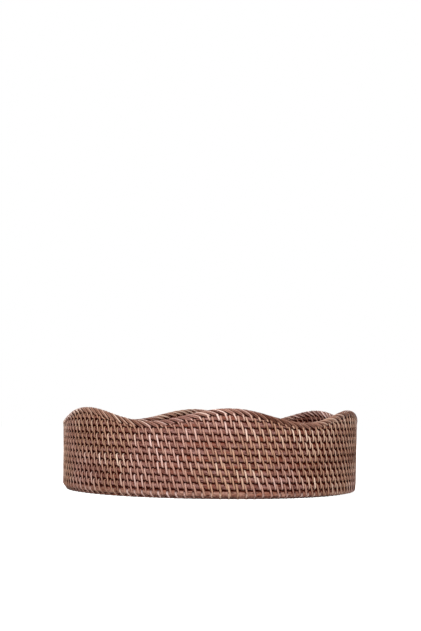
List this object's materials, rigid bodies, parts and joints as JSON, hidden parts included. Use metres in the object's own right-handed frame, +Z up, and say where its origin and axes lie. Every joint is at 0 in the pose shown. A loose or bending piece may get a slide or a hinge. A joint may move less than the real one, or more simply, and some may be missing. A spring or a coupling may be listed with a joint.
{
  "type": "rattan tray",
  "caption": "Round woven rattan tray with a flat coiled floor, an upright wall of stacked canes and a wavy rim with a plaited lashing.",
  "frame": {"origin": "on the table, under the centre of the round floor", "axes": "+Z up out of the open tray, -Y towards the viewer of the picture, with one crest of the rim 7 degrees to the right of it"},
  "size_m": [0.3564, 0.3568, 0.0974],
  "materials": {
    "floor_cane": "satin, stained rattan",
    "wall_cane": "satin, stained rattan",
    "rim_lashing": "satin, stained split rattan"
  },
  "bodies": {
    "root": {"floor_coil": "floor_cane", "wall_row_01": "wall_cane", "wall_row_02": "wall_cane", "wall_row_03": "wall_cane", "wall_row_04": "wall_cane", "wall_row_05": "wall_cane", "wall_row_06": "wall_cane", "wall_row_07": "wall_cane", "wall_row_08": "wall_cane", "wall_row_09": "wall_cane", "wall_row_10": "wall_cane", "crest_1_cane_1": "wall_cane", "crest_2_cane_1": "wall_cane", "crest_3_cane_1": "wall_cane", "crest_4_cane_1": "wall_cane", "crest_5_cane_1": "wall_cane", "crest_6_cane_1": "wall_cane", "crest_1_cane_2": "wall_cane", "crest_2_cane_2": "wall_cane", "crest_3_cane_2": "wall_cane", "crest_4_cane_2": "wall_cane", "crest_5_cane_2": "wall_cane", "crest_6_cane_2": "wall_cane", "rim_core": "wall_cane", "rim_lashing": "rim_lashing"}
  },
  "joints": []
}
